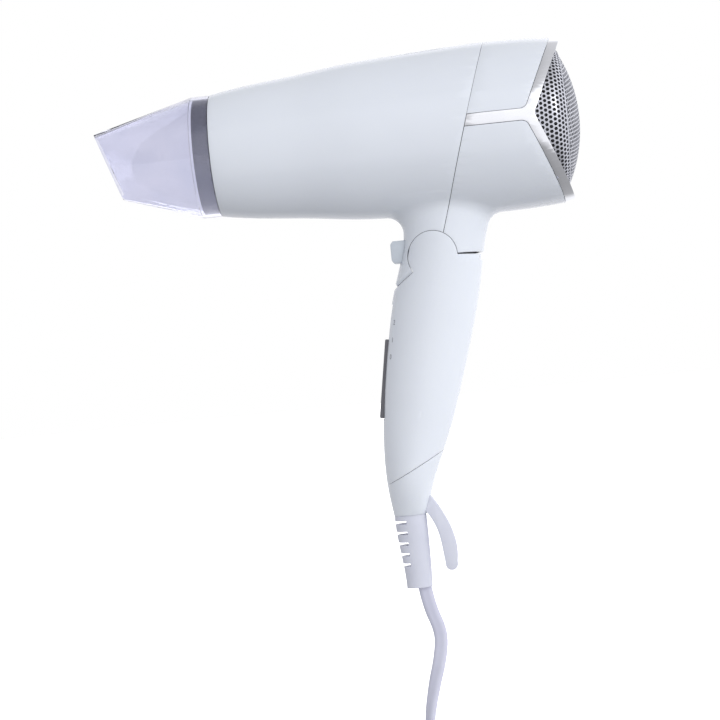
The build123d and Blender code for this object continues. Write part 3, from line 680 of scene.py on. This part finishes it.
def add_marks():
    """Switch position marks printed beside the slider."""
    skin = frame["nodes"]["handle_left"]
    for text, back, up in MARKS:
        front, rear, half = handle_section(up)
        spot = place(back, up)
        middle, deep = (front + rear) / 2, (rear - front) / 2
        lean = max(-MOST_LEAN, min(MOST_LEAN, (spot.x - middle) / deep))
        spot.y = -half * math.sqrt(1 - lean * lean)
        outward = Vector((lean / deep, spot.y / half / half, 0)).normalized()
        right = HANDLE_UPRIGHT.cross(outward).normalized()
        bpy.ops.object.select_all(action="DESELECT")
        bpy.ops.object.text_add()
        mark = bpy.context.object
        mark.name = "mark_" + text
        mark.data.body = text
        mark.data.align_x, mark.data.align_y = "CENTER", "CENTER"
        mark.data.size = MARK_HEIGHT * MM
        bpy.ops.object.convert(target="MESH")
        mark = bpy.context.object
        turned = Matrix((right, outward.cross(right), outward)).transposed().to_4x4()
        mark.matrix_world = Matrix.Translation(spot + outward * 0.5 * MM) @ turned
        settle(mark)
        press(mark, "SHRINKWRAP", target=skin, wrap_method="NEAREST_SURFACEPOINT",
              wrap_mode="ABOVE_SURFACE", offset=MARK_PROUD * MM)
        press(mark, "SOLIDIFY", thickness=MARK_THICK * MM, offset=0.0)
        paint(mark, GREY)
        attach(mark, "handle")


def add_slider():
    """The slide switch's grip, darker than the other grey pieces."""
    moulded("power_slider", "slider_grip", SLIDER_GREY, "slider", 0.25)


# ---------------------------------------------------------------- stage

FLOOR_DROP = 0.35
FLOOR_SIZE = 60.0


def add_stage():
    """Pale floor that fades into the white surroundings."""
    low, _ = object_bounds()
    bpy.ops.mesh.primitive_plane_add(size=FLOOR_SIZE, location=(0, 0, low.z - FLOOR_DROP))
    floor = bpy.context.object
    floor.name = "floor"
    finish, shade, new, link = shader("floor")
    pale = tinted(new, link, grain(new, link, 3.0), (0.97, 0.97, 0.97), (0.99, 0.99, 0.99))
    link(pale, shade.inputs["Base Color"])
    shade.inputs["Roughness"].default_value = 0.8
    shade.inputs["Emission Color"].default_value = (1.0, 1.0, 1.0, 1.0)
    shade.inputs["Emission Strength"].default_value = 1.0
    paint(floor, finish)
    floor.visible_diffuse = False
    floor.visible_glossy = False


def add_light(name, where, toward, size, power):
    """A soft square light aimed at a point."""
    data = bpy.data.lights.new(name, "AREA")
    data.shape = "RECTANGLE"
    data.size, data.size_y = size, size
    data.energy = power
    light = bpy.data.objects.new(name, data)
    bpy.context.scene.collection.objects.link(light)
    light.location = where
    light.rotation_euler = (Vector(toward) - Vector(where)).to_track_quat("-Z", "Y").to_euler()


SKY_BY_HEIGHT = [
    (0.00, 0.30),
    (0.14, 0.36),
    (0.24, 0.80),
    (0.50, 0.88),
    (0.80, 0.97),
    (0.87, 0.58),
    (1.00, 0.50),
]
SKY_STRENGTH = 1.34
SKY_ACROSS = [(0.00, 0.50), (0.28, 0.62), (0.55, 1.00), (1.00, 1.05)]


def sky_ramp(new, link, value, stops):
    """A grey that changes with one direction of the surroundings."""
    spread_node, ramp = new("ShaderNodeMapRange"), new("ShaderNodeValToRGB")
    spread_node.inputs["From Min"].default_value = -1.0
    spread_node.inputs["From Max"].default_value = 1.0
    link(value, spread_node.inputs["Value"])
    link(spread_node.outputs["Result"], ramp.inputs["Fac"])
    while len(ramp.color_ramp.elements) < len(stops):
        ramp.color_ramp.elements.new(0.5)
    for stop, (position, grey) in zip(ramp.color_ramp.elements, stops):
        stop.position = position
        stop.color = (grey, grey, grey * 1.02, 1.0)
    return ramp.outputs["Color"]


def add_sky():
    """White to look at, but a softer light that falls off below and to the nozzle's side."""
    world = bpy.data.worlds.new("studio")
    bpy.context.scene.world = world
    world.use_nodes = True
    tree = world.node_tree
    new, link = tree.nodes.new, tree.links.new
    backdrop, light = tree.nodes["Background"], new("ShaderNodeBackground")
    where, parts = new("ShaderNodeTexCoord"), new("ShaderNodeSeparateXYZ")
    product = new("ShaderNodeMix")
    product.data_type, product.blend_type = "RGBA", "MULTIPLY"
    product.inputs["Factor"].default_value = 1.0
    link(where.outputs["Generated"], parts.inputs["Vector"])
    link(sky_ramp(new, link, parts.outputs["Z"], SKY_BY_HEIGHT), product.inputs["A"])
    link(sky_ramp(new, link, parts.outputs["X"], SKY_ACROSS), product.inputs["B"])
    link(product.outputs["Result"], light.inputs["Color"])
    light.inputs["Strength"].default_value = SKY_STRENGTH
    backdrop.inputs["Color"].default_value = (1.0, 1.0, 1.0, 1.0)
    seen, choice = new("ShaderNodeLightPath"), new("ShaderNodeMixShader")
    link(seen.outputs["Is Camera Ray"], choice.inputs["Fac"])
    link(light.outputs["Background"], choice.inputs[1])
    link(backdrop.outputs["Background"], choice.inputs[2])
    link(choice.outputs["Shader"], tree.nodes["World Output"].inputs["Surface"])


# ---------------------------------------------------------------- making

add_camera()
cord, cord_path, cord_length = add_cord()
node_slots = {part["node"]: part["material_slot"] for part in frame["record"]["subparts"]}
dress_frame(node_slots)
add_moulded_pieces(node_slots)
add_slider()
add_inlet_grille()
# Dark sheet behind the grille: painted shade for its holes.
add_painted_shade_screen()
add_marks()
add_stage()
add_light("key", (1.1, -1.5, 0.7), LOOK_AT, 0.8, 4.5)
add_sky()
scene = bpy.context.scene
scene.view_settings.view_transform = "Standard"
